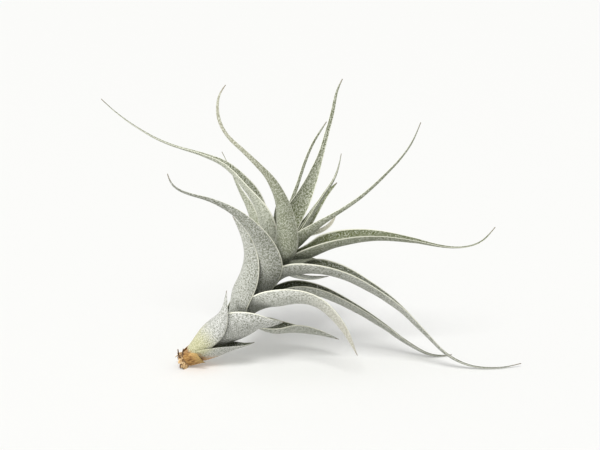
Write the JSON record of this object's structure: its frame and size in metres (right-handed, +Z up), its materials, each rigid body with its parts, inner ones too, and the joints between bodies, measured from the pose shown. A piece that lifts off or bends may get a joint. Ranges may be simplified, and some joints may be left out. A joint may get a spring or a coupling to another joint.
{
  "type": "air plant",
  "caption": "Stemmed air plant lying on its dry stub and leaf tips, with nested sheaths and long, channelled, arching blades that taper to fine points.",
  "frame": {"origin": "in one of the small flats under the dry stub, on the surface the plant lies on", "axes": "+Z up from the surface; the stem leans from the stub towards +X; the side shown in the picture faces -Y"},
  "size_m": [0.2081, 0.1003, 0.1452],
  "materials": {
    "leaf_lower": "matte",
    "leaf_middle": "matte",
    "leaf_upper": "matte",
    "dry_sheath": "matte",
    "dry_stem": "matte"
  },
  "bodies": {
    "root": {"stem": "dry_stem", "dry_sheath_1": "dry_sheath", "dry_sheath_2": "dry_sheath", "leaf_01": "leaf_lower", "leaf_02": "leaf_lower", "leaf_03": "leaf_lower", "leaf_04": "leaf_lower", "leaf_05": "leaf_middle", "leaf_06": "leaf_middle", "leaf_07": "leaf_middle", "leaf_08": "leaf_middle", "leaf_09": "leaf_middle", "leaf_10": "leaf_middle", "leaf_11": "leaf_middle", "leaf_12": "leaf_middle", "leaf_13": "leaf_middle", "leaf_14": "leaf_upper", "leaf_15": "leaf_upper", "leaf_16": "leaf_upper", "leaf_17": "leaf_upper", "leaf_18": "leaf_upper", "leaf_19": "leaf_upper", "leaf_20": "leaf_upper", "leaf_21": "leaf_upper", "leaf_22": "leaf_upper", "leaf_23": "leaf_upper", "leaf_24": "leaf_upper", "leaf_25": "leaf_upper", "leaf_26": "leaf_upper"}
  },
  "joints": []
}
